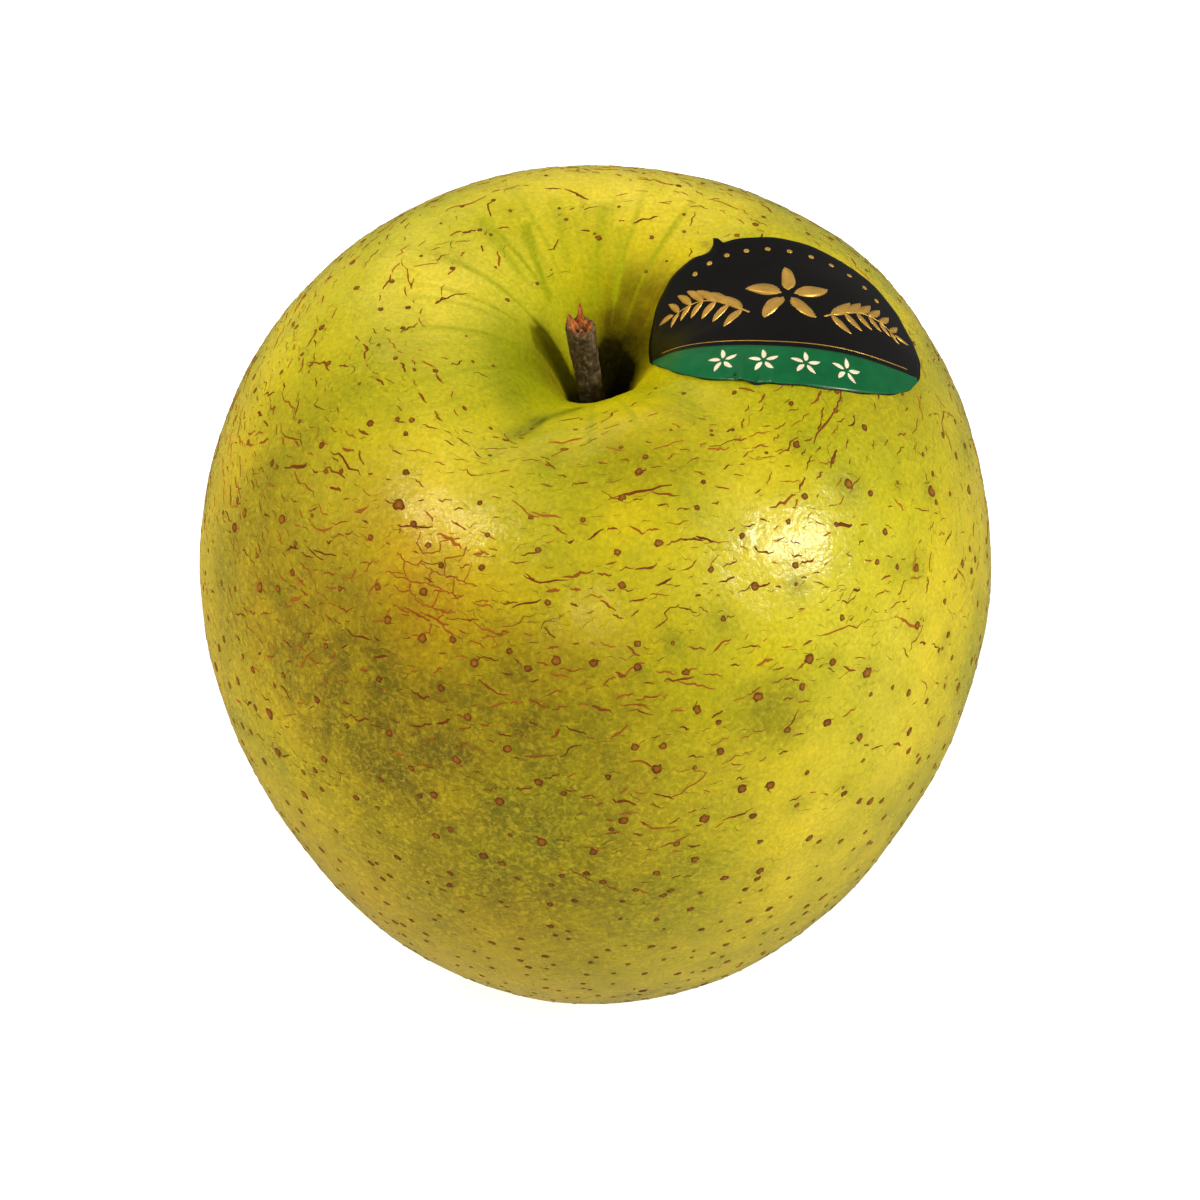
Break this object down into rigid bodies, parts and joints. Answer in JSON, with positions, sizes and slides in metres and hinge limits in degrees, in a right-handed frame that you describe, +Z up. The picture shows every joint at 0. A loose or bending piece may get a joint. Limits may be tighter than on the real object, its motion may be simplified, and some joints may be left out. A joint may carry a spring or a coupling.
{
  "type": "ohrin apple",
  "caption": "Tall yellow-green apple with a deep folded stem cavity, a short broken woody stem, a dried calyx underneath and a thin oval label on its shoulder.",
  "frame": {"origin": "on the surface the apple stands on, under the middle of its outline", "axes": "+Z up along the stem; the label is on the +X side; the fold in the lip of the cavity faces -Y"},
  "size_m": [0.0904, 0.0912, 0.0878],
  "materials": {
    "apple_skin": "waxy, with corky dots and fine russet cracks",
    "stem_wood": "rough grey-brown bark, torn at the top",
    "dried_sepal": "dry and papery",
    "label_film": "printed satin film, black and green with gold"
  },
  "bodies": {
    "root": {"fruit": "apple_skin", "stem": "stem_wood", "calyx": "dried_sepal", "label": "label_film"}
  },
  "joints": []
}
